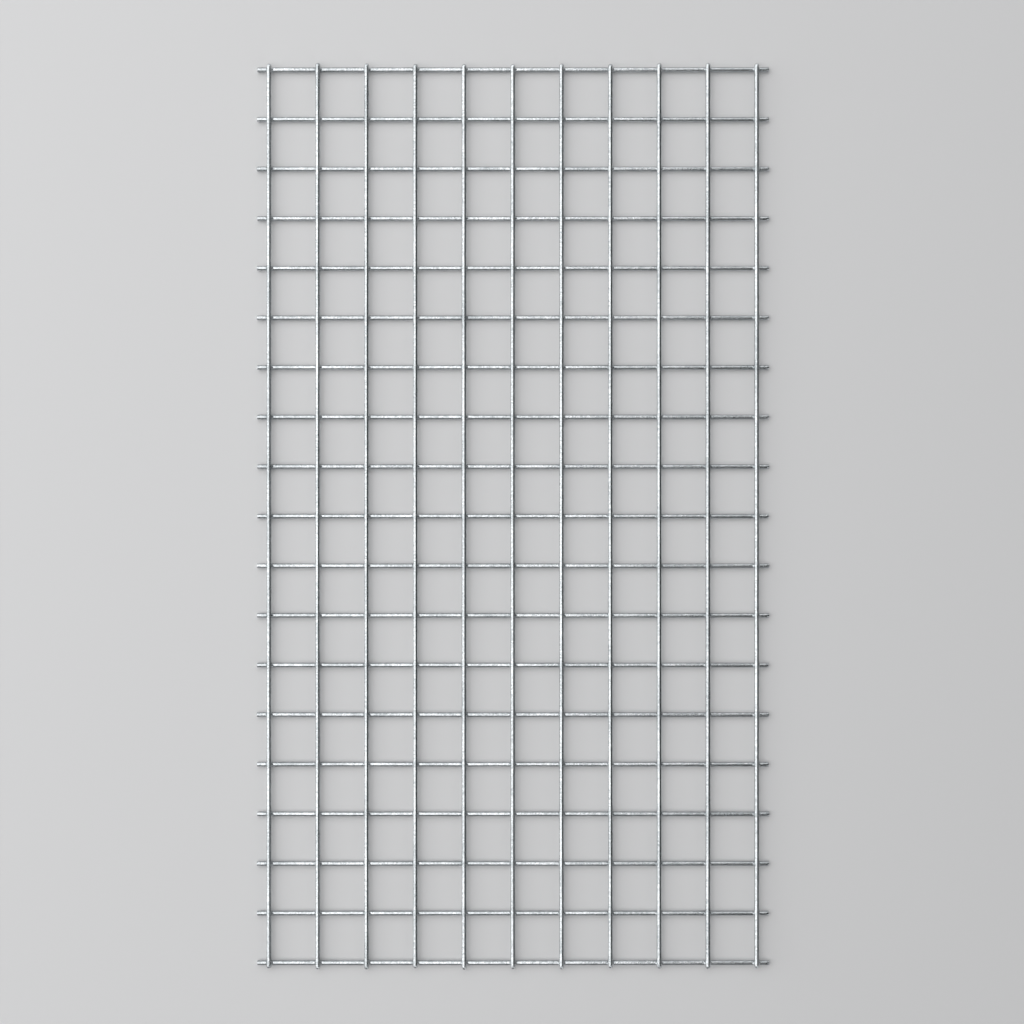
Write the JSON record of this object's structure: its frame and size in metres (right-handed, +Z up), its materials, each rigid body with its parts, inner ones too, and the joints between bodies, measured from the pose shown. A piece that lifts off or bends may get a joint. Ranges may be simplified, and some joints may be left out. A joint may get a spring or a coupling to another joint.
{
  "type": "welded wire mesh panel",
  "caption": "Flat galvanised welded wire mesh panel with a square grid of round wires, cropped just past the outer welds.",
  "frame": {"origin": "on the ground under the middle of the sheet", "axes": "+X along the cross wires, +Y along the longer line wires, +Z up through the sheet, with the line wires on top"},
  "size_m": [0.527, 0.929, 0.0094],
  "materials": {
    "galvanised_wire": "hot-dip galvanised after welding, satin zinc with a fine grain"
  },
  "bodies": {
    "root": {"wire_mesh": "galvanised_wire"}
  },
  "joints": []
}
